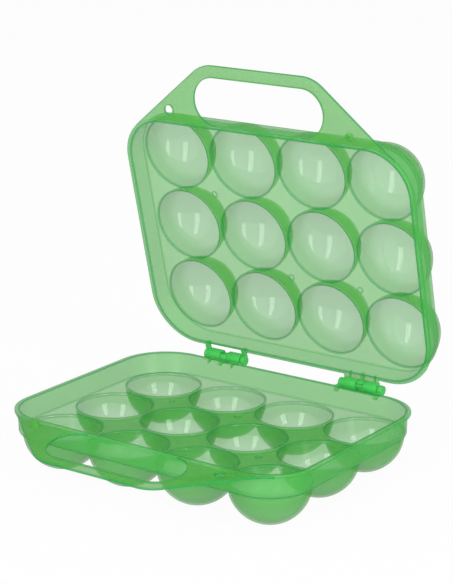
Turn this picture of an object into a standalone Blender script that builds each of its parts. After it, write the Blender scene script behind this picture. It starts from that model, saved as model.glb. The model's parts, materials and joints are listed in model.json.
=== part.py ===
"""Egg carrier box: two alike polypropylene mouldings that snap together on a hinge.

Each half is a shallow tray with twelve egg cups, a carrying handle in the plane of its rim, and two hinge
stations: one with a bar between two arms, one with three hooked fingers that snap over the other half's bar.
The lid is the base turned upside down, so that each bar meets a hook. It stands open as it is stored.

Each half is modelled about its hinge axis: X along the axis, the handle towards -Y, the cups hanging below
the rim. A "reach" is a distance in front of the hinge axis, towards the handle.
"""
import math

import bmesh
import bpy
from mathutils import Matrix, Vector

mm = 0.001

# Fit and closing
opening_angle = math.radians(76)
rim_gap = 0.3 * mm             # between the two rims when the lid is shut
seat_gap = 0.3 * mm            # between two solids of one half that touch
running_gap = 0.3 * mm         # round the hinge bar, and beside the hook
cutter_overrun = 3.0 * mm
weld_distance = 0.001 * mm

# Egg cups
cup_columns = 4
cup_rows = 3
cup_wall = 1.2 * mm
cup_lip_radius = 0.9 * mm      # rounding of the mouth
cup_foot_radius = 4.5 * mm     # flat spot that the cup stands on
cup_web = 1.0 * mm             # plate left between two cup holes
cup_sides = 18
cup_bands = 4                  # facets from foot to mouth

# Tray
inner_width = 200.6 * mm       # between the side walls at the rim; the cups are as wide as it has room for
tray_depth = 13.2 * mm         # rim to plate
plate_thickness = 1.2 * mm
wall_thickness = 1.5 * mm
wall_draft = 0.3 * mm          # the walls lean in by this much at the plate
side_margin = 0.5 * mm         # from the outer cups' holes to the side walls
end_margin = 1.55 * mm         # and to the front and back walls
back_corner_radius = 29.5 * mm
front_corner_radius = 27.0 * mm
lower_edge_radius = 1.2 * mm
lip_width = 1.2 * mm           # along the front and the back
lip_side_step = 1.0 * mm       # how much wider it is along the sides
lip_thickness = 1.5 * mm
corner_steps = 6

# Handle
handle_thickness = 1.5 * mm
handle_lean = math.radians(9)  # the handle leans away from the other half
hand_hole_height = 29.2 * mm   # from the lip to the grip
hand_hole_to_side = 54.1 * mm  # along X, from a side wall to the hole's end
hand_hole_steps = 10           # facets of each round end
grip_width = 7.5 * mm
handle_top_to_side = 60.3 * mm  # along X, from a side wall to the grip's corner
handle_corner_radius = 23.0 * mm
handle_root_step = 0.8 * mm    # the slanted edges start this far outside the lip's corners
handle_corner_steps = 5

# Snap of the handles
snap_to_side = 34.3 * mm       # along X, from a side wall
snap_margin = 6.2 * mm         # from the lip
snap_hole_radius = 2.9 * mm
snap_clearance = 0.3 * mm      # from the stud's head to the hole's edge
stud_neck_share = 0.85         # neck radius as a share of the head's
stud_nose_share = 0.75
stud_bore_share = 0.42         # the stud is hollow, so that its head can give
stud_head_rise = 0.3 * mm      # widest point of the head above the other handle's far face
stud_nose_height = 0.5 * mm
snap_sides = 16

# Hinge
hinge_to_wall = 7.5 * mm       # axis to the back wall's outer face
hinge_to_side = 49.1 * mm      # from a side wall to the middle of a hinge station
hinge_span = 31.2 * mm         # over both arms
arm_width = 3.0 * mm
arm_height = 2.6 * mm
lug_radius = 3.1 * mm
gusset_height = 4.0 * mm
gusset_reach = 2.2 * mm
bar_radius = 2.2 * mm
finger_thickness = 1.7 * mm
middle_finger_width = 4.8 * mm
finger_clearance = 0.4 * mm    # between the middle finger and the outer ones, seen from above
finger_wrap = math.radians(205)
finger_root = math.radians(38)
hook_rib_width = 2.4 * mm
side_rib_width = 1.0 * mm
side_rib_share = 0.72          # where the thin ribs stand, as a share of the hook's half width
arc_steps = 7
bar_sides = 16

# Worked out from the sizes above
cup_pitch = (inner_width + cup_web - 2 * (side_margin + wall_draft)) / cup_columns
cup_hole_radius = (cup_pitch - cup_web) / 2
cup_radius = cup_hole_radius - seat_gap
cup_bore_radius = cup_radius - cup_wall
inner_depth = (cup_rows - 1) * cup_pitch + 2 * (cup_hole_radius + end_margin + wall_draft)
back_reach = hinge_to_wall + wall_thickness
front_reach = back_reach + inner_depth
rim_height = -rim_gap / 2
plate_height = rim_height - tray_depth
cup_centre_height = plate_height - cup_lip_radius
lip_offset = wall_thickness + lip_width
lip_reach = front_reach + lip_offset
hand_hole_radius = hand_hole_height / 2
hand_hole_length = inner_width - 2 * hand_hole_to_side
root_reach = lip_reach + seat_gap
handle_reach = lip_reach + hand_hole_height + grip_width
handle_top_length = inner_width - 2 * handle_top_to_side
snap_offset = inner_width / 2 - snap_to_side
hinge_offset = inner_width / 2 - hinge_to_side
arm_gap = hinge_span - 2 * arm_width
hook_width = arm_gap - 2 * running_gap
hook_bore_radius = bar_radius + running_gap
hook_radius = hook_bore_radius + finger_thickness
hinge_root_reach = hinge_to_wall - seat_gap


def reach_to_y(reach):
    """A distance in front of the hinge axis, as a Y coordinate."""
    return -reach


def arc(centre, radius, start, end, steps):
    """Points of an arc, both ends included."""
    points = []
    for step in range(steps + 1):
        angle = start + (end - start) * step / steps
        points.append((centre[0] + radius * math.cos(angle), centre[1] + radius * math.sin(angle)))
    return points


def rounded_corner(before, corner, after, radius, steps):
    """The arc that rounds one corner of an outline."""
    corner = Vector(corner)
    towards_before = (Vector(before) - corner).normalized()
    towards_after = (Vector(after) - corner).normalized()
    half_angle = towards_before.angle(towards_after) / 2
    middle = (towards_before + towards_after).normalized()
    centre = corner + middle * radius / math.sin(half_angle)
    start = corner + towards_before * radius / math.tan(half_angle) - centre
    sweep = -towards_before.angle_signed(towards_after)
    turn = math.copysign(math.pi - 2 * half_angle, -sweep)
    first_angle = math.atan2(start.y, start.x)
    return arc(centre, radius, first_angle, first_angle + turn, steps)


def tray_outline(offset, side_step=0):
    """The tray's rounded inner outline moved outwards by offset, and its sides by side_step more."""
    half_width = inner_width / 2 + offset + side_step
    back_radius = back_corner_radius + offset
    front_radius = front_corner_radius + offset
    back = reach_to_y(back_reach - offset) - back_radius
    front = reach_to_y(front_reach + offset) + front_radius
    quarter = math.pi / 2
    points = []
    for turn, centre_x, centre_y, radius in (
        (0, half_width - back_radius, back, back_radius),
        (1, back_radius - half_width, back, back_radius),
        (2, front_radius - half_width, front, front_radius),
        (3, half_width - front_radius, front, front_radius),
    ):
        points += arc((centre_x, centre_y), radius, turn * quarter, (turn + 1) * quarter, corner_steps)
    return points


def cup_centres():
    """Row, column and centre of each cup, rows from the hinge and columns from the left."""
    middle_reach = (back_reach + front_reach) / 2
    for row in range(cup_rows):
        for column in range(cup_columns):
            x = (column - (cup_columns - 1) / 2) * cup_pitch
            reach = middle_reach + (row - (cup_rows - 1) / 2) * cup_pitch
            yield row + 1, column + 1, x, reach_to_y(reach)


def clear_scene():
    for scene_object in list(bpy.data.objects):
        bpy.data.objects.remove(scene_object, do_unlink=True)


def new_collection(name):
    collection = bpy.data.collections.new(name)
    bpy.context.scene.collection.children.link(collection)
    return collection


def plastic(name, colour, roughness, alpha):
    material = bpy.data.materials.new(name)
    material.use_nodes = True
    shader = material.node_tree.nodes["Principled BSDF"]
    shader.inputs["Base Color"].default_value = (*colour, 1)
    shader.inputs["Roughness"].default_value = roughness
    shader.inputs["Metallic"].default_value = 0
    shader.inputs["Alpha"].default_value = alpha
    return material


def add_mesh_object(name, mesh, collection, half):
    scene_object = bpy.data.objects.new(name, mesh)
    collection.objects.link(scene_object)
    scene_object.parent = half
    return scene_object


def as_tool(scene_object):
    """Marks an object as a cutter or a piece that is joined into another."""
    scene_object.hide_render = True
    scene_object.display_type = "WIRE"
    return scene_object


def combine(scene_object, tool, operation):
    modifier = scene_object.modifiers.new(tool.name, "BOOLEAN")
    modifier.operation = operation
    modifier.object = tool


def smooth(mesh):
    mesh.shade_smooth()
    mesh.set_sharp_from_angle(angle=math.radians(40))


def lofted_mesh(name, sections):
    """A solid through the tray's outline at each (offset, side step, height)."""
    bm = bmesh.new()
    rings = []
    for offset, side_step, height in sections:
        rings.append([bm.verts.new((x, y, height)) for x, y in tray_outline(offset, side_step)])
    for ring, next_ring in zip(rings, rings[1:]):
        for index in range(len(ring)):
            bm.faces.new((ring[index - 1], ring[index], next_ring[index], next_ring[index - 1]))
    bm.faces.new(rings[0])
    bm.faces.new(rings[-1])
    bmesh.ops.recalc_face_normals(bm, faces=bm.faces)
    mesh = bpy.data.meshes.new(name)
    bm.to_mesh(mesh)
    bm.free()
    smooth(mesh)
    return mesh


def plate_mesh(name, outlines, thickness):
    """A flat plate of this thickness on the XY plane's middle; outlines inside the first are holes."""
    curve = bpy.data.curves.new(name, "CURVE")
    curve.dimensions = "2D"
    curve.fill_mode = "BOTH"
    curve.extrude = thickness / 2
    for outline in outlines:
        spline = curve.splines.new("POLY")
        spline.points.add(len(outline) - 1)
        for point, (x, y) in zip(spline.points, outline):
            point.co = Vector((x, y, 0)).to_4d()
        spline.use_cyclic_u = True
    drawn = bpy.data.objects.new(name, curve)
    bpy.context.scene.collection.objects.link(drawn)
    depsgraph = bpy.context.evaluated_depsgraph_get()
    mesh = bpy.data.meshes.new_from_object(drawn.evaluated_get(depsgraph))
    bpy.data.objects.remove(drawn, do_unlink=True)
    bpy.data.curves.remove(curve)
    bm = bmesh.new()
    bm.from_mesh(mesh)
    bmesh.ops.remove_doubles(bm, verts=bm.verts, dist=weld_distance)
    bmesh.ops.recalc_face_normals(bm, faces=bm.faces)
    bm.to_mesh(mesh)
    bm.free()
    return mesh


def side_profile_mesh(name, outline, width, centre_x):
    """An outline of (reach, height) points, given this width along X about centre_x."""
    mesh = plate_mesh(name, [[(reach_to_y(reach), height) for reach, height in outline]], width)
    upright = Matrix(((0, 0, 1, centre_x), (1, 0, 0, 0), (0, 1, 0, 0), (0, 0, 0, 1)))
    mesh.transform(upright)
    return mesh


def turned_object(name, profile, place, sides, collection, half):
    """A profile of (radius, height) points, turned about the vertical through place."""
    mesh = bpy.data.meshes.new(name)
    edges = [(index, index + 1) for index in range(len(profile) - 1)]
    mesh.from_pydata([(radius, 0, height) for radius, height in profile], edges, [])
    turned = add_mesh_object(name, mesh, collection, half)
    turned.location = (*place, 0)
    screw = turned.modifiers.new("turn", "SCREW")
    screw.steps = sides
    screw.render_steps = sides
    screw.use_merge_vertices = True
    screw.merge_threshold = weld_distance
    screw.use_smooth_shade = True
    return turned


def cup_profile():
    """The cup's wall from the inner bottom, up to the mouth, and down its outer side to the foot."""
    foot_angle = math.asin(cup_foot_radius / cup_radius)
    inner = arc((0, cup_centre_height), cup_bore_radius, foot_angle - math.pi / 2, 0, cup_bands - 1)
    outer = arc((0, cup_centre_height), cup_radius, 0, foot_angle - math.pi / 2, cup_bands)
    mouth = [(cup_bore_radius + cup_lip_radius, plate_height), (cup_radius, plate_height)]
    return [(0, inner[0][1])] + inner + mouth + outer + [(0, outer[-1][1])]


def add_cup(name, place, material, parts, half):
    cup = turned_object(name, cup_profile(), place, cup_sides, parts, half)
    cup.data.materials.append(material)


def cup_hole_cutter(name, tools, half):
    """All the cups' holes as one cutter, faceted like the cups."""
    bm = bmesh.new()
    top = plate_height + cutter_overrun
    bottom = plate_height - plate_thickness - cutter_overrun
    for _, _, x, y in cup_centres():
        middle = Matrix.Translation((x, y, (top + bottom) / 2))
        bmesh.ops.create_cone(
            bm, cap_ends=True, segments=cup_sides, radius1=cup_hole_radius, radius2=cup_hole_radius,
            depth=top - bottom, matrix=middle @ Matrix.Rotation(math.pi / 2, 4, "Z"))
    mesh = bpy.data.meshes.new(name)
    bm.to_mesh(mesh)
    bm.free()
    return as_tool(add_mesh_object(name, mesh, tools, half))


def lip_notch_cutter(name, centre_x, width, tools, half):
    """Takes the lip off the back wall where a hinge station stands."""
    height = 2 * (lip_thickness + seat_gap)
    depth = lip_width + cutter_overrun
    middle_y = reach_to_y(hinge_to_wall) + depth / 2
    bm = bmesh.new()
    size = Matrix.Diagonal((width, depth, height, 1))
    middle = Matrix.Translation((centre_x, middle_y, rim_height))
    bmesh.ops.create_cube(bm, size=1, matrix=middle @ size)
    mesh = bpy.data.meshes.new(name)
    bm.to_mesh(mesh)
    bm.free()
    return as_tool(add_mesh_object(name, mesh, tools, half))


def add_tray(prefix, material, parts, tools, half):
    """Rim, lip, walls and the plate that the cups hang in."""
    underside = plate_height - plate_thickness
    outer_foot = wall_thickness - wall_draft
    rounding = lower_edge_radius * (1 - math.sqrt(0.5))
    sections = (
        (-wall_draft, 0, plate_height),
        (0, 0, rim_height),
        (lip_offset, lip_side_step, rim_height),
        (lip_offset, lip_side_step, rim_height - lip_thickness),
        (wall_thickness, 0, rim_height - lip_thickness),
        (outer_foot, 0, underside + lower_edge_radius),
        (outer_foot - rounding, 0, underside + rounding),
        (outer_foot - lower_edge_radius, 0, underside),
    )
    tray = add_mesh_object(prefix + "_tray", lofted_mesh(prefix + "_tray", sections), parts, half)
    tray.data.materials.append(material)
    combine(tray, cup_hole_cutter(prefix + "_cup_holes", tools, half), "DIFFERENCE")
    bar_notch = hinge_span + 2 * seat_gap
    hook_notch = hook_width + 2 * seat_gap
    combine(tray, lip_notch_cutter(prefix + "_bar_notch", hinge_offset, bar_notch, tools, half), "DIFFERENCE")
    combine(tray, lip_notch_cutter(prefix + "_hook_notch", -hinge_offset, hook_notch, tools, half), "DIFFERENCE")


def hand_hole_outline():
    """The finger hole, a slot with round ends that runs into the lip, from its right foot to its left."""
    middle_reach = lip_reach + hand_hole_radius
    end_x = hand_hole_length / 2 - hand_hole_radius
    foot_angle = math.asin((middle_reach - root_reach) / hand_hole_radius)
    quarter = math.pi / 2
    middle = (end_x, reach_to_y(middle_reach))
    right_end = arc(middle, hand_hole_radius, foot_angle, -quarter, hand_hole_steps)
    left_end = [(-x, y) for x, y in reversed(right_end)]
    return right_end + left_end


def handle_outline():
    """An arch: slanted sides that leave the lip's front corners, a straight grip, and the finger hole."""
    corner_x = inner_width / 2 + lip_side_step - front_corner_radius
    corner_y = reach_to_y(front_reach - front_corner_radius)
    lip_radius = front_corner_radius + lip_offset
    root_radius = lip_radius + seat_gap
    edge_radius = lip_radius + handle_root_step
    top = Vector((handle_top_length / 2, reach_to_y(handle_reach)))
    to_top = top - Vector((corner_x, corner_y))
    edge_angle = math.atan2(to_top.y, to_top.x) + math.acos(edge_radius / to_top.length)
    edge_direction = Vector((math.cos(edge_angle), math.sin(edge_angle)))
    corner = Vector((corner_x, corner_y))
    root_arc = arc(corner, root_radius, -math.pi / 2, edge_angle, corner_steps)
    edge_start = corner + edge_direction * edge_radius
    top_arc = rounded_corner(edge_start, top, (-top.x, top.y), handle_corner_radius, handle_corner_steps)
    right_half = root_arc + [tuple(edge_start)] + top_arc
    left_half = [(-x, y) for x, y in reversed(right_half)]
    hole = [(-x, y) for x, y in hand_hole_outline()]
    return right_half + left_half + hole


def handle_drop(reach):
    """How far the leaning handle's top face lies below the rim at this reach."""
    return max(reach - lip_reach, 0) * math.tan(handle_lean)


def lean_handle(mesh):
    """Bends the flat plate down along the lip's front edge."""
    bm = bmesh.new()
    bm.from_mesh(mesh)
    everything = list(bm.verts) + list(bm.edges) + list(bm.faces)
    bmesh.ops.bisect_plane(
        bm, geom=everything, dist=weld_distance,
        plane_co=(0, reach_to_y(root_reach), 0), plane_no=(0, 1, 0))
    for vertex in bm.verts:
        vertex.co.z -= handle_drop(-vertex.co.y)
    bm.to_mesh(mesh)
    bm.free()


def add_snap_stud(name, tools, half):
    """A mushroom stud on the handle, which pops through the other handle's hole."""
    reach = lip_reach + snap_margin
    drop = handle_drop(reach)
    head_radius = snap_hole_radius - snap_clearance
    neck_radius = head_radius * stud_neck_share
    bore_radius = head_radius * stud_bore_share
    root = rim_height - drop - handle_thickness / 2
    floor = root + handle_thickness
    head = -rim_height + drop + handle_thickness + stud_head_rise
    nose = head + stud_nose_height
    shoulder = head - stud_head_rise
    profile = [
        (0, floor), (bore_radius, floor), (bore_radius, nose), (head_radius * stud_nose_share, nose),
        (head_radius, head), (neck_radius, shoulder), (neck_radius, root), (0, root),
    ]
    stud = turned_object(name, profile, (-snap_offset, reach_to_y(reach)), snap_sides, tools, half)
    return as_tool(stud)


def add_handle(prefix, material, parts, tools, half):
    full_circle = 2 * math.pi
    snap_centre = (snap_offset, reach_to_y(lip_reach + snap_margin))
    snap_hole = arc(snap_centre, snap_hole_radius, 0, full_circle, snap_sides)[:-1]
    mesh = plate_mesh(prefix + "_handle", [handle_outline(), snap_hole], handle_thickness)
    mesh.transform(Matrix.Translation((0, 0, rim_height - handle_thickness / 2)))
    lean_handle(mesh)
    mesh.materials.append(material)
    handle = add_mesh_object(prefix + "_handle", mesh, parts, half)
    combine(handle, add_snap_stud(prefix + "_snap_stud", tools, half), "UNION")


def arm_outline():
    """Lug round the axis, stem along the rim, and gusset down the back wall."""
    tangent_angle = math.asin(rim_height / lug_radius)
    under_angle = math.asin((rim_height - arm_height) / lug_radius)
    lug = arc((0, 0), lug_radius, tangent_angle, 2 * math.pi + under_angle, 2 * arc_steps)
    under = rim_height - arm_height
    return lug + [
        (hinge_root_reach - gusset_reach, under),
        (hinge_root_reach, rim_height - gusset_height),
        (hinge_root_reach, rim_height),
    ]


def add_hinge_bar(prefix, material, parts, tools, half):
    """Two arms with the bar between them, at the right-hand station."""
    name = prefix + "_hinge_bar"
    arm_shift = (hinge_span - arm_width) / 2
    mesh = side_profile_mesh(name, arm_outline(), arm_width, hinge_offset - arm_shift)
    mesh.materials.append(material)
    hinge_bar = add_mesh_object(name, mesh, parts, half)
    outer_name = prefix + "_outer_arm"
    outer_mesh = side_profile_mesh(outer_name, arm_outline(), arm_width, hinge_offset + arm_shift)
    combine(hinge_bar, as_tool(add_mesh_object(outer_name, outer_mesh, tools, half)), "UNION")
    bar_name = prefix + "_bar"
    bm = bmesh.new()
    along_x = Matrix.Rotation(math.pi / 2, 4, "Y")
    bmesh.ops.create_cone(
        bm, cap_ends=True, segments=bar_sides, radius1=bar_radius, radius2=bar_radius,
        depth=arm_gap + arm_width, matrix=Matrix.Translation((hinge_offset, 0, 0)) @ along_x)
    bar_mesh = bpy.data.meshes.new(bar_name)
    bm.to_mesh(bar_mesh)
    bm.free()
    combine(hinge_bar, as_tool(add_mesh_object(bar_name, bar_mesh, tools, half)), "UNION")


def finger_outline(over):
    """A hooked finger of (reach, height) points: over the bar from the front, or under it."""
    outer = arc((0, 0), hook_radius, -finger_root, finger_wrap, 2 * arc_steps)
    inner = arc((0, 0), hook_bore_radius, finger_wrap, -finger_root, 2 * arc_steps)
    outline = outer + inner
    if over:
        return outline
    return [(reach, -height) for reach, height in outline]


def rib_outline():
    """Gusset under the hook's web, down the back wall."""
    under_web = rim_height - lip_thickness / 2
    start_reach = hook_radius * math.cos(finger_root)
    return [
        (start_reach, under_web),
        (start_reach, -hook_radius * math.sin(finger_root)),
        (hinge_root_reach, rim_height - gusset_height),
        (hinge_root_reach, under_web),
    ]


def add_hinge_hook(prefix, material, parts, tools, half):
    """A web from the back wall that carries three hooked fingers and their ribs, at the left-hand station."""
    name = prefix + "_hinge_hook"
    centre_x = -hinge_offset
    web_start = (hook_bore_radius + hook_radius) / 2 * math.cos(finger_root / 2)
    web = [
        (web_start, rim_height), (web_start, rim_height - lip_thickness),
        (hinge_root_reach, rim_height - lip_thickness), (hinge_root_reach, rim_height),
    ]
    mesh = side_profile_mesh(name, web, hook_width, centre_x)
    mesh.materials.append(material)
    hook = add_mesh_object(name, mesh, parts, half)
    outer_width = (hook_width - middle_finger_width) / 2 - finger_clearance
    outer_shift = (hook_width - outer_width) / 2
    rib_shift = hook_width / 2 * side_rib_share
    for tool_name, outline, width, shift in (
        ("_left_finger", finger_outline(True), outer_width, -outer_shift),
        ("_right_finger", finger_outline(True), outer_width, outer_shift),
        ("_middle_finger", finger_outline(False), middle_finger_width, 0),
        ("_middle_rib", rib_outline(), hook_rib_width, 0),
        ("_left_rib", rib_outline(), side_rib_width, -rib_shift),
        ("_right_rib", rib_outline(), side_rib_width, rib_shift),
    ):
        tool_mesh = side_profile_mesh(prefix + tool_name, outline, width, centre_x + shift)
        combine(hook, as_tool(add_mesh_object(prefix + tool_name, tool_mesh, tools, half)), "UNION")


def add_half(prefix, placing, materials, parts, tools, origin):
    """One moulding, hung on an empty that lies on the hinge axis."""
    half = bpy.data.objects.new(prefix + "_on_hinge_axis", None)
    parts.objects.link(half)
    half.parent = origin
    half.matrix_basis = placing
    add_tray(prefix, materials["tray"], parts, tools, half)
    for row, column, x, y in cup_centres():
        add_cup(f"{prefix}_cup_row_{row}_column_{column}", (x, y), materials["cup"], parts, half)
    add_handle(prefix, materials["handle"], parts, tools, half)
    add_hinge_bar(prefix, materials["hinge"], parts, tools, half)
    add_hinge_hook(prefix, materials["hinge"], parts, tools, half)


def stand_on_origin(parts, origin):
    """Puts the middle of the open box's footprint at the origin, with the cups' feet on z = 0."""
    depsgraph = bpy.context.evaluated_depsgraph_get()
    corners = []
    for part in parts.objects:
        if part.type == "MESH":
            evaluated = part.evaluated_get(depsgraph)
            corners += [evaluated.matrix_world @ vertex.co for vertex in evaluated.data.vertices]
    lowest = [min(corner[axis] for corner in corners) for axis in range(3)]
    highest = [max(corner[axis] for corner in corners) for axis in range(3)]
    middle_x = (lowest[0] + highest[0]) / 2
    middle_y = (lowest[1] + highest[1]) / 2
    origin.location = (-middle_x, -middle_y, -lowest[2])
    print("hinge axis at y =", round(-middle_y / mm, 3), "mm, z =", round(-lowest[2] / mm, 3), "mm")
    print("size in mm:", [round((high - low) / mm, 2) for low, high in zip(lowest, highest)])


def main():
    clear_scene()
    parts = new_collection("egg_carrier_box")
    tools = new_collection("egg_carrier_box_tools")
    materials = {
        "tray": plastic("tray_polypropylene", (0.22, 0.60, 0.25), 0.35, 0.75),
        "cup": plastic("cup_polypropylene", (0.45, 0.72, 0.45), 0.30, 0.65),
        "handle": plastic("handle_polypropylene", (0.26, 0.60, 0.25), 0.38, 0.80),
        "hinge": plastic("hinge_polypropylene", (0.05, 0.47, 0.08), 0.35, 0.90),
    }
    origin = bpy.data.objects.new("box_origin", None)
    parts.objects.link(origin)
    shut_lid = Matrix.Rotation(math.pi, 4, "Y")
    opened_lid = Matrix.Rotation(-opening_angle, 4, "X") @ shut_lid
    add_half("base", Matrix.Identity(4), materials, parts, tools, origin)
    add_half("lid", opened_lid, materials, parts, tools, origin)
    stand_on_origin(parts, origin)


main()
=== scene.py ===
import json
import math

import bmesh
import bpy
from mathutils import Matrix, Vector


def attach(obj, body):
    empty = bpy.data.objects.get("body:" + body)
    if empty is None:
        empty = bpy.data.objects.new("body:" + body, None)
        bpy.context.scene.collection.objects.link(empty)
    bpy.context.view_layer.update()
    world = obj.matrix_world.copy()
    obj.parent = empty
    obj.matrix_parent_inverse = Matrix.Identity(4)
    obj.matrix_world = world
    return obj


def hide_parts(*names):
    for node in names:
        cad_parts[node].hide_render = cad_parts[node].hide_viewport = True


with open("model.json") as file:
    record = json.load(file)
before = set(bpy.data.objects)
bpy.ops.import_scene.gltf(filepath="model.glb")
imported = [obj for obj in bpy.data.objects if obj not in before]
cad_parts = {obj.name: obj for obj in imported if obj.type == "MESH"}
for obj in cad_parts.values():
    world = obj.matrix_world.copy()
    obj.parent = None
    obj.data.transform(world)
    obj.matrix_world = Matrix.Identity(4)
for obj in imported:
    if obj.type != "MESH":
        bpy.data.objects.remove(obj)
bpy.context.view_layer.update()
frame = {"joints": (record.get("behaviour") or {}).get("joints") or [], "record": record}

# An egg carrier box of translucent green polypropylene, standing open. Both halves are the same moulding,
# and the lid is the base turned upside down. A moulding is made as its mould makes it: a solid outside, less
# a core for the tray and one for each cup, so that walls, cups, handle and hinge are one wall of plastic.
#
# A moulding is made about its hinge axis: X along the axis, the handle towards -Y, the cups below the rim.
# A reach is a distance in front of the hinge axis, towards the handle.

mm = 0.001

# Sizes of the moulding, as in the CAD
OPENING = math.radians(76)
RIM_GAP = 0.3 * mm
CUP_COLUMNS = 4
CUP_ROWS = 3
CUP_PITCH = 50.0 * mm
CUP_BORE = 23.0 * mm
CUP_WALL = 1.2 * mm
MOUTH_ROUNDING = 0.9 * mm
FOOT_RADIUS = 4.5 * mm
TRAY_DEPTH = 13.2 * mm
PLATE = 1.2 * mm
WALL = 1.5 * mm
WALL_DRAFT = 0.3 * mm
INNER_HALF_WIDTH = 100.3 * mm
BACK_REACH = 9.0 * mm
FRONT_REACH = 161.7 * mm
BACK_CORNER = 29.5 * mm
FRONT_CORNER = 27.0 * mm
LOWER_ROUNDING = 1.2 * mm
LIP_WIDTH = 1.2 * mm
LIP_SIDE_STEP = 1.0 * mm     # how much wider the lip is along the sides
LIP_THICKNESS = 1.5 * mm
HANDLE_THICKNESS = 1.5 * mm
HANDLE_LEAN = math.radians(9)
HAND_HOLE_HEIGHT = 29.2 * mm
HAND_HOLE_LENGTH = 92.4 * mm
GRIP_WIDTH = 7.5 * mm
HANDLE_TOP = 80.0 * mm
HANDLE_CORNER = 23.0 * mm
HANDLE_ROOT_STEP = 0.1 * mm
SNAP_OFFSET = 66.0 * mm
SNAP_MARGIN = 6.2 * mm
SNAP_HOLE = 2.9 * mm
STUD_HEAD = 2.6 * mm
STUD_NECK = 0.85            # the stud's other radii, as shares of its head's
STUD_SHOULDER = 0.86
STUD_UNDERCUT = 0.97
STUD_NOSE = 0.62
STUD_BORE = 0.42
STUD_NOSE_HEIGHT = 0.5 * mm
STUD_EASE = 0.15 * mm
STUD_NECK_DROP = 0.3 * mm
HINGE_TO_WALL = 7.5 * mm
HINGE_OFFSET = 51.2 * mm
HINGE_SPAN = 31.2 * mm
ARM_WIDTH = 3.0 * mm
ARM_HEIGHT = 2.6 * mm
LUG_RADIUS = 3.1 * mm
GUSSET_HEIGHT = 4.0 * mm
GUSSET_REACH = 2.2 * mm
BAR_RADIUS = 2.2 * mm
RUNNING_GAP = 0.3 * mm
FINGER_THICKNESS = 1.7 * mm
MIDDLE_FINGER = 4.8 * mm
FINGER_GAP = 0.4 * mm
FINGER_WRAP = math.radians(205)
FINGER_ROOT = math.radians(38)
MIDDLE_RIB = 2.4 * mm
OUTER_RIB = 1.0 * mm
OUTER_RIB_PLACE = 0.36      # from the hook's middle, as a share of its width

# Roundings and steps that only the eye needs
EDGE = 0.35 * mm            # broken edge of a moulded wall
FINGER_EDGE = 0.25 * mm
SHARPEST = 0.4              # keeps a sharp corner's inset from running far
INNER_FILLET = 0.5 * mm
CORNER_STEPS = 24
CUP_SIDES = 72
CUP_STEPS = 24
FLARE_STEPS = 5
ROUND_STEPS = 28
OVERRUN = 3.0 * mm
EMBED = 0.8 * mm            # how far the handle and hinge run into the rim
EDGE_SHADE_BAND = 0.5 * mm        # band of the rim's inner edge where the light gathers, painted as a dark line of shade and of a cup's outside under the plate, painted the same way
MOUTH_SHADE_BAND = 1.0 * mm       # and of a cup's outside under the plate
MOUTH_SHARE = 0.45          # share of a mouth's rounding that still looks like the bore; the rest is painted as a dark line of shade
BRIM_WIDTH = 0.6 * mm       # shallow step round a cup's mouth
BRIM_STEP = 0.05 * mm
EJECTOR_RADIUS = 2.2 * mm
EJECTOR_HEIGHT = 0.2 * mm
EJECTOR_BORE = 0.65         # share of its radius
EJECTOR_EDGE = 0.05 * mm
WELD = 0.001 * mm
SHARP = math.radians(35)

RIM_HEIGHT = -RIM_GAP / 2
PLATE_HEIGHT = RIM_HEIGHT - TRAY_DEPTH
UNDERSIDE = PLATE_HEIGHT - PLATE
CUP_CENTRE = PLATE_HEIGHT - MOUTH_ROUNDING
CUP_OUTSIDE = CUP_BORE + CUP_WALL
LIP_OFFSET = WALL + LIP_WIDTH
LIP_REACH = FRONT_REACH + LIP_OFFSET
HOOK_BORE = BAR_RADIUS + RUNNING_GAP
HOOK_RADIUS = HOOK_BORE + FINGER_THICKNESS
ARM_SPACE = HINGE_SPAN - 2 * ARM_WIDTH
HOOK_WIDTH = ARM_SPACE - 2 * RUNNING_GAP
QUARTER = math.pi / 2


# Materials


def linear(code):
    """An sRGB hex colour as linear RGBA."""
    channels = [int(code[index:index + 2], 16) / 255 for index in (1, 3, 5)]
    return tuple(c / 12.92 if c <= 0.04045 else ((c + 0.055) / 1.055) ** 2.4 for c in channels) + (1.0,)


def add_node(tree, kind, settings=None, values=None, links=None):
    """Adds one node: its settings, its sockets' values, and links from other nodes' outputs."""
    node = tree.nodes.new(kind)
    for name, value in (settings or {}).items():
        setattr(node, name, value)
    for socket, value in (values or {}).items():
        node.inputs[socket].default_value = value
    for socket, output in (links or {}).items():
        tree.links.new(output, node.inputs[socket])
    return node


LIGHT_SPREAD = 0.6          # share of the light that the milky resin hands on inwards
POLYPROPYLENE_IOR = 1.49
FLOW_SCALE = 28.0           # per metre: the melt's swirls are about 36 mm across
SKIN_SCALE = 900.0          # per metre: the skin's waviness is about 1 mm across
SKIN_SPREAD = 0.02
BOWL_PALING = (0.25, 0.65)     # depths in a cup, from its mouth to its bottom, over which it turns paler and more see-through


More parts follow.
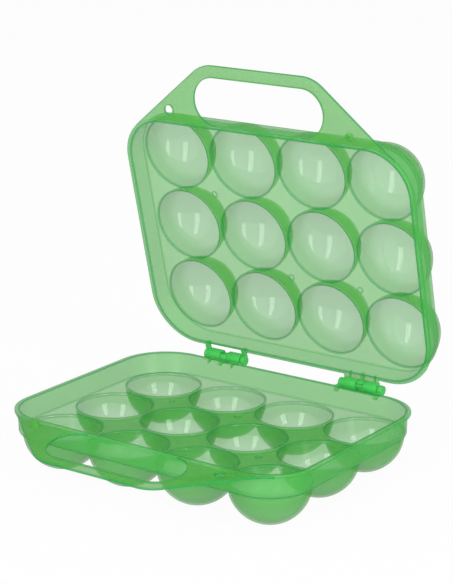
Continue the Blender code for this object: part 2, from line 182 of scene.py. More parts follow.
def polypropylene(name, deep, pale, solid, roughness, bowl=0.0, gloss=0.5):
    """Moulded translucent polypropylene: green dye in a milky resin, and a smooth, slightly waxy skin.

    deep and pale are the dye's two tones, mixed by the melt's swirls, and in a cup by its depth instead; solid is the
    share of light that one face keeps, bowl is how much of that share is lost towards a cup's bottom, and gloss is the
    skin's shine.
    """
    material = bpy.data.materials.new(name)
    material.use_nodes = True
    tree = material.node_tree
    tree.nodes.clear()
    place = add_node(tree, "ShaderNodeTexCoord")
    if bowl:
        depth = add_node(tree, "ShaderNodeAttribute", {"attribute_name": "bowl_depth"})
        paleness = add_node(tree, "ShaderNodeMapRange", {"interpolation_type": "SMOOTHSTEP"},
                            {"From Min": BOWL_PALING[0], "From Max": BOWL_PALING[1]},
                            {"Value": depth.outputs["Fac"]}).outputs["Result"]
    else:
        paleness = add_node(tree, "ShaderNodeTexNoise", values={"Scale": FLOW_SCALE, "Detail": 2.0},
                            links={"Vector": place.outputs["Object"]}).outputs["Fac"]
    dye = add_node(tree, "ShaderNodeMix", {"data_type": "RGBA"}, {6: linear(deep), 7: linear(pale)}, {0: paleness})
    skin = add_node(tree, "ShaderNodeTexNoise", values={"Scale": SKIN_SCALE, "Detail": 1.0},
                    links={"Vector": place.outputs["Object"]})
    sheen = add_node(tree, "ShaderNodeMapRange",
                     values={"To Min": roughness - SKIN_SPREAD, "To Max": roughness + SKIN_SPREAD},
                     links={"Value": skin.outputs["Fac"]})
    shader = add_node(tree, "ShaderNodeBsdfPrincipled",
                      values={"IOR": POLYPROPYLENE_IOR, "Alpha": solid, "Specular IOR Level": gloss},
                      links={"Base Color": dye.outputs[2], "Roughness": sheen.outputs["Result"]})
    if bowl:
        cover = add_node(tree, "ShaderNodeMapRange", values={"To Min": solid, "To Max": solid - bowl},
                         links={"Value": paleness})
        tree.links.new(cover.outputs["Result"], shader.inputs["Alpha"])
    ray = add_node(tree, "ShaderNodeLightPath")
    gathered = add_node(tree, "ShaderNodeMath", {"operation": "MAXIMUM"},
                        links={0: ray.outputs["Is Shadow Ray"], 1: ray.outputs["Is Diffuse Ray"]})
    spread = add_node(tree, "ShaderNodeMath", {"operation": "MULTIPLY"}, {1: LIGHT_SPREAD}, {0: gathered.outputs[0]})
    clear = add_node(tree, "ShaderNodeBsdfTransparent")
    wall = add_node(tree, "ShaderNodeMixShader",
                    links={0: spread.outputs[0], 1: shader.outputs[0], 2: clear.outputs[0]})
    add_node(tree, "ShaderNodeOutputMaterial", links={"Surface": wall.outputs[0]})
    return material


# The plate and the rim's inside, off a polished core: a calm, even green that half shows what lies behind it.
WALL_FINISH = polypropylene("polypropylene_wall", "#53AE49", "#5FB952", 0.48, 0.24)

# The rim's outside, off a plainer cavity: a deeper, duller green, a little closer to solid.
OUTSIDE_FINISH = polypropylene("polypropylene_outside", "#38A63F", "#43AE49", 0.57, 0.34, gloss=0.4)

# The cups' insides, off mirror-bright pins: clear, crisp strips of window light, and a colour that pales
# towards milk white and lets more through towards the bottom.
BORE_FINISH = polypropylene("polypropylene_cup_bore", "#50AB48", "#68B76A", 0.47, 0.08, bowl=0.11, gloss=1.0)

# The cups' outsides, off a satin cavity: soft domes of leaf green with hardly a highlight.
CUP_FINISH = polypropylene("polypropylene_cup_outside", "#389F2E", "#3CA032", 0.53, 0.50, bowl=0.05, gloss=0.15)

# Where a bend is seen along its wall, light has far to go through the dye; that shade is painted here as a thin dark
# line round each cup, a deeper and more solid green.
MOUTH_SHADE_FINISH = polypropylene("polypropylene_cup_mouth_painted_shade", "#23893C", "#2C9444", 0.72, 0.30, gloss=0.3)

# The rim's edges gather the light of the whole wall, and that shade is painted here: a bluish green line, deeper than
# the faces beside it.
EDGE_SHADE_FINISH = polypropylene("polypropylene_edge_painted_shade", "#249040", "#2D9A48", 0.80, 0.30, gloss=0.3)

# The handles are thick and flat, and look like one sheet of soft yellowish green.
HANDLE_FINISH = polypropylene("polypropylene_handle", "#46A338", "#50AB40", 0.55, 0.30, gloss=0.4)

# Their edges, like the rim's, are painted shade: a dark line that draws the finger hole.
HANDLE_EDGE_SHADE_FINISH = polypropylene("polypropylene_handle_edge_painted_shade", "#1C8E3C", "#259644", 0.84, 0.30, gloss=0.3)

# Bars and fingers are solid lumps of plastic, bright and all but opaque.
HINGE_FINISH = polypropylene("polypropylene_hinge", "#38B84C", "#42C054", 0.88, 0.28, gloss=0.4)


# Outlines, as lists of points


def arc(centre, radius, start, end, steps):
    return [(centre[0] + radius * math.cos(start + (end - start) * step / steps),
             centre[1] + radius * math.sin(start + (end - start) * step / steps))
            for step in range(steps + 1)]


def circle(centre, radius, steps):
    return arc(centre, radius, 0, 2 * math.pi, steps)[:-1]


def rounded_corner(before, corner, after, radius, steps):
    corner = Vector(corner)
    towards_before = (Vector(before) - corner).normalized()
    towards_after = (Vector(after) - corner).normalized()
    half_angle = towards_before.angle(towards_after) / 2
    middle = (towards_before + towards_after).normalized()
    centre = corner + middle * radius / math.sin(half_angle)
    start = corner + towards_before * radius / math.tan(half_angle) - centre
    sweep = -towards_before.angle_signed(towards_after)
    turn = math.copysign(math.pi - 2 * half_angle, -sweep)
    first_angle = math.atan2(start.y, start.x)
    return arc(centre, radius, first_angle, first_angle + turn, steps)


def tray_outline(offset, side_step):
    """The tray's rounded inner outline, moved outwards by offset, and its sides by side_step more."""
    half_width = INNER_HALF_WIDTH + offset + side_step
    back_radius = BACK_CORNER + offset
    front_radius = FRONT_CORNER + offset
    back = -(BACK_REACH - offset) - back_radius
    front = -(FRONT_REACH + offset) + front_radius
    points = []
    for turn, centre_x, centre_y, radius in (
        (0, half_width - back_radius, back, back_radius),
        (1, back_radius - half_width, back, back_radius),
        (2, front_radius - half_width, front, front_radius),
        (3, half_width - front_radius, front, front_radius),
    ):
        points += arc((centre_x, centre_y), radius, turn * QUARTER, (turn + 1) * QUARTER, CORNER_STEPS)
    return points


def handle_outlines():
    """The handle's arch with its finger hole running into the lip, and the hole of its snap."""
    corner = Vector((INNER_HALF_WIDTH + LIP_SIDE_STEP - FRONT_CORNER, -(FRONT_REACH - FRONT_CORNER)))
    root_radius = FRONT_CORNER + LIP_OFFSET - EMBED
    edge_radius = FRONT_CORNER + LIP_OFFSET + HANDLE_ROOT_STEP
    top = Vector((HANDLE_TOP / 2, -(LIP_REACH + HAND_HOLE_HEIGHT + GRIP_WIDTH)))
    to_top = top - corner
    edge_angle = math.atan2(to_top.y, to_top.x) + math.acos(edge_radius / to_top.length)
    edge_direction = Vector((math.cos(edge_angle), math.sin(edge_angle)))
    edge_start = corner + edge_direction * edge_radius
    root = arc(corner, root_radius, -QUARTER, edge_angle, CORNER_STEPS)
    crown = rounded_corner(edge_start, top, (-top.x, top.y), HANDLE_CORNER, CORNER_STEPS)
    hole_radius = HAND_HOLE_HEIGHT / 2
    middle_reach = LIP_REACH + hole_radius
    end = (HAND_HOLE_LENGTH / 2 - hole_radius, -middle_reach)
    hole_side = [(end[0], -(LIP_REACH - EMBED))] + arc(end, hole_radius, QUARTER, -QUARTER, ROUND_STEPS)
    right = root + [tuple(edge_start)] + crown
    arch = right + [(-x, y) for x, y in reversed(right)]
    arch += [(-x, y) for x, y in hole_side] + list(reversed(hole_side))
    snap = circle((SNAP_OFFSET, -(LIP_REACH + SNAP_MARGIN)), SNAP_HOLE, ROUND_STEPS)
    return [arch, snap]


def arm_outline():
    """Lug round the axis, stem along the rim, and gusset down the back wall."""
    tangent_angle = math.asin(RIM_HEIGHT / LUG_RADIUS)
    under = RIM_HEIGHT - ARM_HEIGHT
    under_angle = math.asin(under / LUG_RADIUS)
    lug = arc((0, 0), LUG_RADIUS, tangent_angle, 2 * math.pi + under_angle, ROUND_STEPS)
    root = HINGE_TO_WALL + EMBED
    return lug + [
        (HINGE_TO_WALL - GUSSET_REACH, under),
        (HINGE_TO_WALL, RIM_HEIGHT - GUSSET_HEIGHT),
        (root, RIM_HEIGHT - GUSSET_HEIGHT),
        (root, RIM_HEIGHT),
    ]


def finger_outline(over):
    """A hooked finger, over the bar from the front or under it."""
    outline = arc((0, 0), HOOK_RADIUS, -FINGER_ROOT, FINGER_WRAP, ROUND_STEPS)
    outline += arc((0, 0), HOOK_BORE, FINGER_WRAP, -FINGER_ROOT, ROUND_STEPS)
    return outline if over else [(reach, -height) for reach, height in outline]


def web_outline():
    start = (HOOK_BORE + HOOK_RADIUS) / 2 * math.cos(FINGER_ROOT / 2)
    root = HINGE_TO_WALL + EMBED
    return [(start, RIM_HEIGHT), (start, RIM_HEIGHT - LIP_THICKNESS),
            (root, RIM_HEIGHT - LIP_THICKNESS), (root, RIM_HEIGHT)]


def rib_outline():
    under_web = RIM_HEIGHT - LIP_THICKNESS / 2
    start = HOOK_RADIUS * math.cos(FINGER_ROOT)
    root = HINGE_TO_WALL + EMBED
    return [(start, under_web), (start, -HOOK_RADIUS * math.sin(FINGER_ROOT)),
            (HINGE_TO_WALL, RIM_HEIGHT - GUSSET_HEIGHT), (root, RIM_HEIGHT - GUSSET_HEIGHT),
            (root, under_web)]


# Solids


def new_object(name, mesh):
    made = bpy.data.objects.new(name, mesh)
    bpy.context.scene.collection.objects.link(made)
    return made


def finish_mesh(name, bm, *finishes):
    bmesh.ops.recalc_face_normals(bm, faces=bm.faces)
    mesh = bpy.data.meshes.new(name)
    bm.to_mesh(mesh)
    bm.free()
    for finish in finishes:
        mesh.materials.append(finish)
    return new_object(name, mesh)


def add_ring(bm, points, height):
    return [bm.verts.new((x, y, height)) for x, y in points]


def bridge(bm, ring, next_ring, slot):
    for index in range(len(ring)):
        face = bm.faces.new((ring[index - 1], ring[index], next_ring[index], next_ring[index - 1]))
        face.material_index = slot


SIDE, RIM_EDGE_SHADE, BEND_SHADE, FLAT = range(4)       # a tray solid's slots; the rim-edge and bend slots carry painted shade


def tray_solid(name, sections, side_finish, bands):
    """A solid through the tray's outline at each (offset, side step, height); bands have their slots."""
    bm = bmesh.new()
    rings = [add_ring(bm, tray_outline(offset, side_step), height) for offset, side_step, height in sections]
    for band, (ring, next_ring) in enumerate(zip(rings, rings[1:])):
        bridge(bm, ring, next_ring, bands.get(band, SIDE))
    bottom = bm.faces.new(rings[0])
    bottom.material_index = FLAT
    top = bm.faces.new(rings[-1])
    top.material_index = bands.get(len(rings) - 1, SIDE)
    return finish_mesh(name, bm, side_finish, EDGE_SHADE_FINISH, MOUTH_SHADE_FINISH, WALL_FINISH)


def shrunk(points, amount):
    """A closed outline moved in by amount, whichever way round it runs."""
    area = sum(a[0] * b[1] - b[0] * a[1] for a, b in zip(points, points[1:] + points[:1]))
    side = amount * math.copysign(1, area)
    moved = []
    for before, point, after in zip(points[-1:] + points[:-1], points, points[1:] + points[:1]):
        first = Vector((point[0] - before[0], point[1] - before[1])).normalized()
        second = Vector((after[0] - point[0], after[1] - point[1])).normalized()
        normal = Vector((-first.y - second.y, first.x + second.x)).normalized()
        stretch = side / max(normal.dot(Vector((-first.y, first.x))), SHARPEST)
        moved.append((point[0] + normal.x * stretch, point[1] + normal.y * stretch))
    return moved


def rounded_plate(outlines, bottom, top, rounding):
    """A flat plate with broken edges, which have the second finish; outlines after the first are holes."""
    bm = bmesh.new()
    corner = rounding * (1 - math.sqrt(0.5))
    sections = ((rounding, bottom), (corner, bottom + corner), (0, bottom + rounding),
                (0, top - rounding), (corner, top - corner), (rounding, top))
    ends = ([], [])
    for number, outline in enumerate(outlines):
        way = -1 if number else 1
        rings = [add_ring(bm, shrunk(outline, way * inset), height) for inset, height in sections]
        for ring, next_ring in zip(rings, rings[1:]):
            bridge(bm, ring, next_ring, 1)
        for end, ring in zip(ends, (rings[0], rings[-1])):
            end += [bm.edges.get((ring[index - 1], ring[index])) for index in range(len(ring))]
    for end in ends:
        bmesh.ops.triangle_fill(bm, use_beauty=True, use_dissolve=False, edges=end)
    return bm


def upright_plate(name, outline, width, centre_x, finish, rounding=EDGE):
    """An outline of (reach, height) points, this wide along X."""
    bm = rounded_plate([[(-reach, height) for reach, height in outline]], -width / 2, width / 2, rounding)
    upright = Matrix(((0, 0, 1, centre_x), (1, 0, 0, 0), (0, 1, 0, 0), (0, 0, 0, 1)))
    bmesh.ops.transform(bm, matrix=upright, verts=bm.verts)
    return finish_mesh(name, bm, finish, finish)


def turned(name, profile, sides, finish, place=(0, 0)):
    """A profile of (radius, height) points, turned about the vertical through place."""
    bm = bmesh.new()
    verts = [bm.verts.new((radius, 0, height)) for radius, height in profile]
    edges = [bm.edges.new(pair) for pair in zip(verts, verts[1:])]
    bmesh.ops.spin(bm, geom=verts + edges, cent=(0, 0, 0), axis=(0, 0, 1), angle=2 * math.pi, steps=sides)
    bmesh.ops.remove_doubles(bm, verts=bm.verts, dist=WELD)
    bmesh.ops.translate(bm, verts=bm.verts, vec=(*place, 0))
    return finish_mesh(name, bm, *([finish] if finish else []))


def cut_or_join(body, tool, operation):
    modifier = body.modifiers.new(tool.name, "BOOLEAN")
    modifier.operation = operation
    modifier.solver = "MANIFOLD"
    modifier.material_mode = "TRANSFER"
    modifier.object = tool


def applied(made):
    """The object's mesh with its modifiers done, in its place."""
    depsgraph = bpy.context.evaluated_depsgraph_get()
    mesh = bpy.data.meshes.new_from_object(made.evaluated_get(depsgraph))
    made.modifiers.clear()
    return mesh


# The cups: one bowl, repeated by rows and columns


def cup_bed_nodes():
    """Sets a bowl at each place of a grid, and gives the rounding of its mouth a finish of its own, a dark line of
    painted shade.
    """
    tree = bpy.data.node_groups.new("cup_bed", "GeometryNodeTree")
    interface = tree.interface
    interface.new_socket("Geometry", in_out="OUTPUT", socket_type="NodeSocketGeometry")
    interface.new_socket("Bowl", in_out="INPUT", socket_type="NodeSocketGeometry")
    for name, kind in (("Columns", "NodeSocketInt"), ("Rows", "NodeSocketInt"), ("Pitch", "NodeSocketFloat"),
                       ("Middle", "NodeSocketVector"), ("Mouth height", "NodeSocketFloat"),
                       ("Bowl finish", "NodeSocketMaterial"), ("Mouth shade finish", "NodeSocketMaterial")):
        interface.new_socket(name, in_out="INPUT", socket_type=kind)
    given = add_node(tree, "NodeGroupInput").outputs

    def span(count):
        steps = add_node(tree, "ShaderNodeMath", {"operation": "SUBTRACT"}, {1: 1.0}, {0: given[count]})
        return add_node(tree, "ShaderNodeMath", {"operation": "MULTIPLY"},
                        links={0: steps.outputs[0], 1: given["Pitch"]}).outputs[0]

    grid = add_node(tree, "GeometryNodeMeshGrid", links={
        "Size X": span("Columns"), "Size Y": span("Rows"),
        "Vertices X": given["Columns"], "Vertices Y": given["Rows"]})
    moved = add_node(tree, "GeometryNodeSetPosition",
                     links={"Geometry": grid.outputs["Mesh"], "Offset": given["Middle"]})
    bowls = add_node(tree, "GeometryNodeInstanceOnPoints",
                     links={"Points": moved.outputs[0], "Instance": given["Bowl"]})
    real = add_node(tree, "GeometryNodeRealizeInstances", links={"Geometry": bowls.outputs[0]})
    all_bowls = add_node(tree, "GeometryNodeSetMaterial",
                         links={"Geometry": real.outputs[0], "Material": given["Bowl finish"]})
    place = add_node(tree, "GeometryNodeInputPosition")
    split = add_node(tree, "ShaderNodeSeparateXYZ", links={0: place.outputs[0]})
    is_mouth = add_node(tree, "FunctionNodeCompare", {"data_type": "FLOAT", "operation": "GREATER_THAN"},
                        links={0: split.outputs["Z"], 1: given["Mouth height"]})
    mouths = add_node(tree, "GeometryNodeSetMaterial", links={
        "Geometry": all_bowls.outputs[0], "Selection": is_mouth.outputs[0], "Material": given["Mouth shade finish"]})
    add_node(tree, "NodeGroupOutput", links={0: mouths.outputs[0]})
    return tree


def cup_bed(name, bowl, bowl_finish, mouth_height, mouth_shade_finish):
    modifier = bowl.modifiers.new("cup_bed", "NODES")
    tree = bpy.data.node_groups.get("cup_bed") or cup_bed_nodes()
    modifier.node_group = tree
    values = {
        "Columns": CUP_COLUMNS, "Rows": CUP_ROWS, "Pitch": CUP_PITCH,
        "Middle": (0, -(BACK_REACH + FRONT_REACH) / 2, 0), "Mouth height": mouth_height,
        "Bowl finish": bowl_finish, "Mouth shade finish": mouth_shade_finish,
    }
    for item in tree.interface.items_tree:
        if item.item_type == "SOCKET" and item.name in values:
            modifier[item.identifier] = values[item.name]
    mesh = applied(bowl)
    mesh.name = name
    bpy.data.objects.remove(bowl, do_unlink=True)
    return new_object(name, mesh)


def cup_outsides():
    foot = math.asin(FOOT_RADIUS / CUP_OUTSIDE) - QUARTER
    side = arc((0, CUP_CENTRE), CUP_OUTSIDE, foot, 0, CUP_STEPS)
    top = PLATE_HEIGHT - PLATE / 2
    profile = [(0, side[0][1])] + side + [(CUP_OUTSIDE, top), (0, top)]
    # The band where each dome meets the plate's underside is painted as a dark line of shade.
    return cup_bed("cup_outsides", turned("cup_outside", profile, CUP_SIDES, None), CUP_FINISH,
                   UNDERSIDE - MOUTH_SHADE_BAND, MOUTH_SHADE_FINISH)


def cup_cores():
    bowl = arc((0, CUP_CENTRE), CUP_BORE, -QUARTER, 0, CUP_STEPS)
    flare_middle = (CUP_BORE + MOUTH_ROUNDING, CUP_CENTRE)
    brim_height = PLATE_HEIGHT - BRIM_STEP
    flare_end = math.pi - math.asin(1 - BRIM_STEP / MOUTH_ROUNDING)
    flare = arc(flare_middle, MOUTH_ROUNDING, math.pi, flare_end, FLARE_STEPS)[1:]
    brim = flare_middle[0] + BRIM_WIDTH
    top = PLATE_HEIGHT + BRIM_STEP
    profile = [(0, bowl[0][1])] + bowl[1:] + flare + [(brim, brim_height), (brim, top), (0, top)]
    # The top of each mouth's rounding and its brim are painted as a dark line of shade.
    return cup_bed("cup_cores", turned("cup_core", profile, CUP_SIDES, None), BORE_FINISH,
                   CUP_CENTRE + MOUTH_ROUNDING * MOUTH_SHARE, MOUTH_SHADE_FINISH)


# The moulding


def handle_solid():
    """The handle's plate, which leans down from the lip; its broken edges are painted as a dark line of shade."""
    bm = rounded_plate(handle_outlines(), RIM_HEIGHT - HANDLE_THICKNESS, RIM_HEIGHT, EDGE)
    everything = list(bm.verts) + list(bm.edges) + list(bm.faces)
    bmesh.ops.bisect_plane(bm, geom=everything, dist=WELD, plane_co=(0, -LIP_REACH, 0), plane_no=(0, 1, 0))
    for vertex in bm.verts:
        vertex.co.z -= max(-vertex.co.y - LIP_REACH, 0) * math.tan(HANDLE_LEAN)
    return finish_mesh("handle_blank", bm, HANDLE_FINISH, HANDLE_EDGE_SHADE_FINISH)


def snap_stud():
    """Hollow mushroom stud that pops through the other handle's hole."""
    reach = LIP_REACH + SNAP_MARGIN
    drop = SNAP_MARGIN * math.tan(HANDLE_LEAN)
    root = RIM_HEIGHT - drop - HANDLE_THICKNESS / 2
    floor = root + HANDLE_THICKNESS
    head = -RIM_HEIGHT + drop + HANDLE_THICKNESS + RUNNING_GAP
    nose = head + STUD_NOSE_HEIGHT
    bore = STUD_HEAD * STUD_BORE
    neck = STUD_HEAD * STUD_NECK
    profile = [(0, floor), (bore, floor), (bore, nose), (STUD_HEAD * STUD_NOSE, nose),
               (STUD_HEAD * STUD_SHOULDER, nose - STUD_EASE), (STUD_HEAD, head),
               (STUD_HEAD * STUD_UNDERCUT, head - STUD_EASE), (neck, head - STUD_NECK_DROP), (neck, root), (0, root)]
    return turned("snap_stud", profile, ROUND_STEPS, HANDLE_FINISH, (-SNAP_OFFSET, -reach))


def ejector_marks():
    """The rings that the mould's ejector pins leave on the plate between the cups; their darkness is painted shade."""
    marks = []
    middle = (BACK_REACH + FRONT_REACH) / 2
    for number, (x, rows) in enumerate(((-1, -0.5), (0, -0.5), (1, 0.5))):
        centre = (x * CUP_PITCH, -(middle + rows * CUP_PITCH))
        rings = [circle(centre, radius, ROUND_STEPS) for radius in (EJECTOR_RADIUS, EJECTOR_RADIUS * EJECTOR_BORE)]
        bm = rounded_plate(rings, PLATE_HEIGHT - PLATE / 2, PLATE_HEIGHT + EJECTOR_HEIGHT, EJECTOR_EDGE)
        marks.append(finish_mesh(f"ejector_mark_{number}", bm, MOUTH_SHADE_FINISH, EDGE_SHADE_FINISH))
    return marks


def hinge_solids():
    """Bar station on the right, hook station on the left."""
    solids = []
    shift = (HINGE_SPAN - ARM_WIDTH) / 2
    for side in (-1, 1):
        solids.append(upright_plate(f"arm{side}", arm_outline(), ARM_WIDTH, HINGE_OFFSET + side * shift,
                                    HINGE_FINISH))
    bar = circle((0, 0), BAR_RADIUS, ROUND_STEPS)
    solids.append(upright_plate("bar", bar, ARM_SPACE + ARM_WIDTH, HINGE_OFFSET, HINGE_FINISH))
    solids.append(upright_plate("web", web_outline(), HOOK_WIDTH, -HINGE_OFFSET, HANDLE_FINISH))
    outer_width = (HOOK_WIDTH - MIDDLE_FINGER) / 2 - FINGER_GAP
    outer_shift = (HOOK_WIDTH - outer_width) / 2
    for name, outline, width, at in (
        ("left_finger", finger_outline(True), outer_width, -outer_shift),
        ("right_finger", finger_outline(True), outer_width, outer_shift),
        ("middle_finger", finger_outline(False), MIDDLE_FINGER, 0),
        ("middle_rib", rib_outline(), MIDDLE_RIB, 0),
        ("left_rib", rib_outline(), OUTER_RIB, -HOOK_WIDTH * OUTER_RIB_PLACE),
        ("right_rib", rib_outline(), OUTER_RIB, HOOK_WIDTH * OUTER_RIB_PLACE),
    ):
        solids.append(upright_plate(name, outline, width, -HINGE_OFFSET + at, HINGE_FINISH, FINGER_EDGE))
    return solids


def lip_notch(centre_x, width):
    """A cut through the back lip, which leaves room for a hinge station; its cut faces are painted as a dark line of
    shade.
    """
    height = 2 * (LIP_THICKNESS + RIM_GAP)
    bm = bmesh.new()
    depth = LIP_WIDTH + OVERRUN
    size = Matrix.Diagonal((width, depth, height, 1))
    middle = Matrix.Translation((centre_x, -HINGE_TO_WALL + depth / 2, RIM_HEIGHT))
    bmesh.ops.create_cube(bm, size=1, matrix=middle @ size)
    return finish_mesh(f"lip_notch_{centre_x > 0}", bm, EDGE_SHADE_FINISH)


def moulding():
    """The whole moulding as one closed mesh about its hinge axis."""
    corner = 1 - math.sqrt(0.5)
    foot = WALL - WALL_DRAFT
    under_lip = RIM_HEIGHT - LIP_THICKNESS
    step = LIP_SIDE_STEP
    # The outside's lower rounding has a band painted as a dark line of shade, and so has the lip's top.
    outside = tray_solid("tray_outside", (
        (foot - LOWER_ROUNDING, 0, UNDERSIDE),
        (foot - LOWER_ROUNDING * corner, 0, UNDERSIDE + LOWER_ROUNDING * corner),
        (foot, 0, UNDERSIDE + LOWER_ROUNDING),
        (WALL, 0, under_lip - EDGE),
        (WALL + EDGE, 0, under_lip),
        (LIP_OFFSET - EDGE, step, under_lip),
        (LIP_OFFSET - EDGE * corner, step, under_lip + EDGE * corner),
        (LIP_OFFSET, step, under_lip + EDGE),
        (LIP_OFFSET, step, RIM_HEIGHT - EDGE),
        (LIP_OFFSET - EDGE * corner, step, RIM_HEIGHT - EDGE * corner),
        (LIP_OFFSET - EDGE, step, RIM_HEIGHT),
        (WALL, 0, RIM_HEIGHT),
    ), OUTSIDE_FINISH, {1: BEND_SHADE, 11: RIM_EDGE_SHADE})
    # The core's rim bands give the rim's inner edge a dark line of painted shade.
    core = tray_solid("tray_core", (
        (-WALL_DRAFT - INNER_FILLET, 0, PLATE_HEIGHT),
        (-WALL_DRAFT - INNER_FILLET * corner, 0, PLATE_HEIGHT + INNER_FILLET * corner),
        (-WALL_DRAFT, 0, PLATE_HEIGHT + INNER_FILLET),
        (0, 0, RIM_HEIGHT - EDGE_SHADE_BAND),
        (EDGE * corner, 0, RIM_HEIGHT - EDGE * corner),
        (EDGE, 0, RIM_HEIGHT),
        (EDGE, 0, RIM_HEIGHT + OVERRUN),
    ), WALL_FINISH, {3: RIM_EDGE_SHADE, 4: RIM_EDGE_SHADE})
    tools = []
    for x, width in ((HINGE_OFFSET, HINGE_SPAN), (-HINGE_OFFSET, HOOK_WIDTH)):
        tools.append((lip_notch(x, width), "DIFFERENCE"))
    joined = [cup_outsides(), handle_solid(), snap_stud()] + hinge_solids()
    tools += [(solid, "UNION") for solid in joined]
    tools += [(core, "DIFFERENCE"), (cup_cores(), "DIFFERENCE")]
    tools += [(mark, "UNION") for mark in ejector_marks()]
    for tool, operation in tools:
        cut_or_join(outside, tool, operation)
    mesh = applied(outside)
    mesh.name = "moulding"
    for tool, _ in tools:
        bpy.data.objects.remove(tool, do_unlink=True)
    bpy.data.objects.remove(outside, do_unlink=True)
    mark_bowls(mesh)
    mesh.shade_smooth()
    mesh.set_sharp_from_angle(angle=SHARP)
    return mesh


def mark_bowls(mesh):
    """How deep each point lies in its cup, from 0 at the mouth to 1 at the bottom."""
    depth = mesh.attributes.new("bowl_depth", "FLOAT", "POINT")
    for vertex in mesh.vertices:
        depth.data[vertex.index].value = min(max((PLATE_HEIGHT - vertex.co.z) / CUP_OUTSIDE, 0), 1)


joint = frame["joints"][0]
axis = Matrix.Translation(joint["pos_m"])
PLACES = {
    "base": axis,
    "lid": axis @ Matrix.Rotation(-OPENING, 4, "X") @ Matrix.Rotation(math.pi, 4, "Y"),
}
blank = moulding()
for body, place in PLACES.items():
    mesh = blank.copy()
    mesh.name = body + "_moulding"
    mesh.transform(place)
    half = new_object(body + "_moulding", mesh)
    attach(half, body)
    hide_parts(*frame["record"]["behaviour"]["bodies"][body])
bpy.data.meshes.remove(blank)


# Stage, camera and light


def sheet(name, corners, material):
    bm = bmesh.new()
    bm.faces.new([bm.verts.new(corner) for corner in corners])
    made = finish_mesh(name, bm, material)
    return made


PAPER_WHITE = 0.92          # share of the camera's view that is plain white; the rest keeps the shadow


def paper():
    """Seamless white paper: the camera sees it white, it keeps a trace of the shadow, and gloss mirrors the studio."""
    material = bpy.data.materials.new("white_paper")
    material.use_nodes = True
    tree = material.node_tree
    tree.nodes.clear()
    matt = add_node(tree, "ShaderNodeBsdfDiffuse", values={"Color": linear("#F2F2F2")})
    glow = add_node(tree, "ShaderNodeEmission", values={"Color": (1, 1, 1, 1), "Strength": 1.0})
    ray = add_node(tree, "ShaderNodeLightPath")
    seen = add_node(tree, "ShaderNodeMath", {"operation": "MULTIPLY"}, {1: PAPER_WHITE},
                    {0: ray.outputs["Is Camera Ray"]})
    mix = add_node(tree, "ShaderNodeMixShader", links={
        0: seen.outputs[0], 1: matt.outputs[0], 2: glow.outputs[0]})
    clear = add_node(tree, "ShaderNodeBsdfTransparent")
    mirrored = add_node(tree, "ShaderNodeMixShader", links={
        0: ray.outputs["Is Glossy Ray"], 1: mix.outputs[0], 2: clear.outputs[0]})
    add_node(tree, "ShaderNodeOutputMaterial", links={"Surface": mirrored.outputs[0]})
    return material


FLOOR_REACH = 3.0           # metres to each side
sheet("floor", [(-FLOOR_REACH, -FLOOR_REACH, 0), (FLOOR_REACH, -FLOOR_REACH, 0),
                (FLOOR_REACH, FLOOR_REACH, 0), (-FLOOR_REACH, FLOOR_REACH, 0)], paper())

FRONT = Vector((0.50, -0.78, 0.38)).normalized()     # the white wall behind the camera is the brightest
DIMMEST = 0.50
BRIGHTEST = 1.22


def studio():
    """A white room, brighter in front of the box than behind it; the camera sees plain white."""
    world = bpy.data.worlds.new("white_studio")
    bpy.context.scene.world = world
    world.use_nodes = True
    tree = world.node_tree
    tree.nodes.clear()
    place = add_node(tree, "ShaderNodeTexCoord")
    facing = add_node(tree, "ShaderNodeVectorMath", {"operation": "DOT_PRODUCT"}, {1: FRONT},
                      {0: place.outputs["Generated"]})
    room = add_node(tree, "ShaderNodeMapRange", {"interpolation_type": "SMOOTHSTEP"},
                    {"From Min": -0.2, "From Max": 1.0, "To Min": DIMMEST, "To Max": BRIGHTEST},
                    {"Value": facing.outputs["Value"]})
    ray = add_node(tree, "ShaderNodeLightPath")
    strength = add_node(tree, "ShaderNodeMix", values={3: 1.0},
                        links={0: ray.outputs["Is Camera Ray"], 2: room.outputs["Result"]})
    light = add_node(tree, "ShaderNodeBackground", values={"Color": (1, 1, 1, 1)},
                     links={"Strength": strength.outputs[0]})
    add_node(tree, "ShaderNodeOutputWorld", links={"Surface": light.outputs[0]})


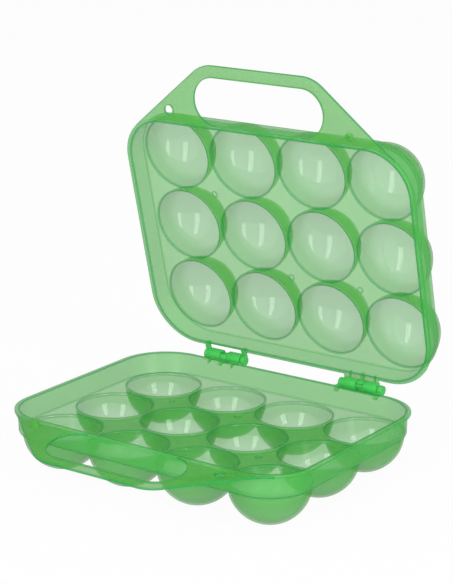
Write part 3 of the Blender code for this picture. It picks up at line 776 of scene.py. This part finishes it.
# The camera, as solved from the photograph; AIM is from the hinge
AZIMUTH = math.radians(35.4)
ELEVATION = math.radians(15.861)
DISTANCE = 1.452126
AIM = Vector((-0.146988, 0.134672, -0.003423)) + Vector(joint["pos_m"])
FOCAL_PIXELS = 2005.017
PICTURE_HEIGHT = 584
SENSOR_HEIGHT = 36.0


def photo_camera():
    data = bpy.data.cameras.new("camera")
    data.sensor_width = SENSOR_HEIGHT
    data.sensor_fit = "VERTICAL"
    data.sensor_height = SENSOR_HEIGHT
    data.lens = FOCAL_PIXELS / PICTURE_HEIGHT * SENSOR_HEIGHT
    data.clip_end = 20
    camera = bpy.data.objects.new("camera", data)
    bpy.context.scene.collection.objects.link(camera)
    back = Vector((math.sin(AZIMUTH) * math.cos(ELEVATION), -math.cos(AZIMUTH) * math.cos(ELEVATION),
                   math.sin(ELEVATION)))
    camera.location = AIM + back * DISTANCE
    camera.rotation_euler = (-back).to_track_quat("-Z", "Y").to_euler()
    bpy.context.scene.camera = camera


def strip_box(name, azimuth, distance, width, bottom, top, power):
    """An upright soft box turned to the egg box; the bowls mirror it as a pale strip.

    Lengths are in metres, the azimuth in degrees from the front and the power in watts.
    """
    lamp = bpy.data.lights.new(name, "AREA")
    lamp.shape = "RECTANGLE"
    lamp.size = width
    lamp.size_y = top - bottom
    lamp.energy = power
    lamp_object = bpy.data.objects.new(name, lamp)
    bpy.context.scene.collection.objects.link(lamp_object)
    azimuth = math.radians(azimuth)
    away = Vector((math.sin(azimuth), -math.cos(azimuth), 0))
    lamp_object.location = away * distance + Vector((0, 0, (top + bottom) / 2))
    lamp_object.rotation_euler = (-away).to_track_quat("-Z", "Y").to_euler()
    lamp_object.visible_camera = False


studio()
photo_camera()
strip_box("front_strip", azimuth=9, distance=1.6, width=0.46, bottom=-0.55, top=1.90, power=16)
strip_box("right_strip", azimuth=73, distance=1.6, width=0.50, bottom=-0.60, top=1.45, power=14)

bpy.context.scene.view_settings.view_transform = "Standard"
bpy.context.scene.cycles.transparent_max_bounces = 48        # a ray may cross many walls
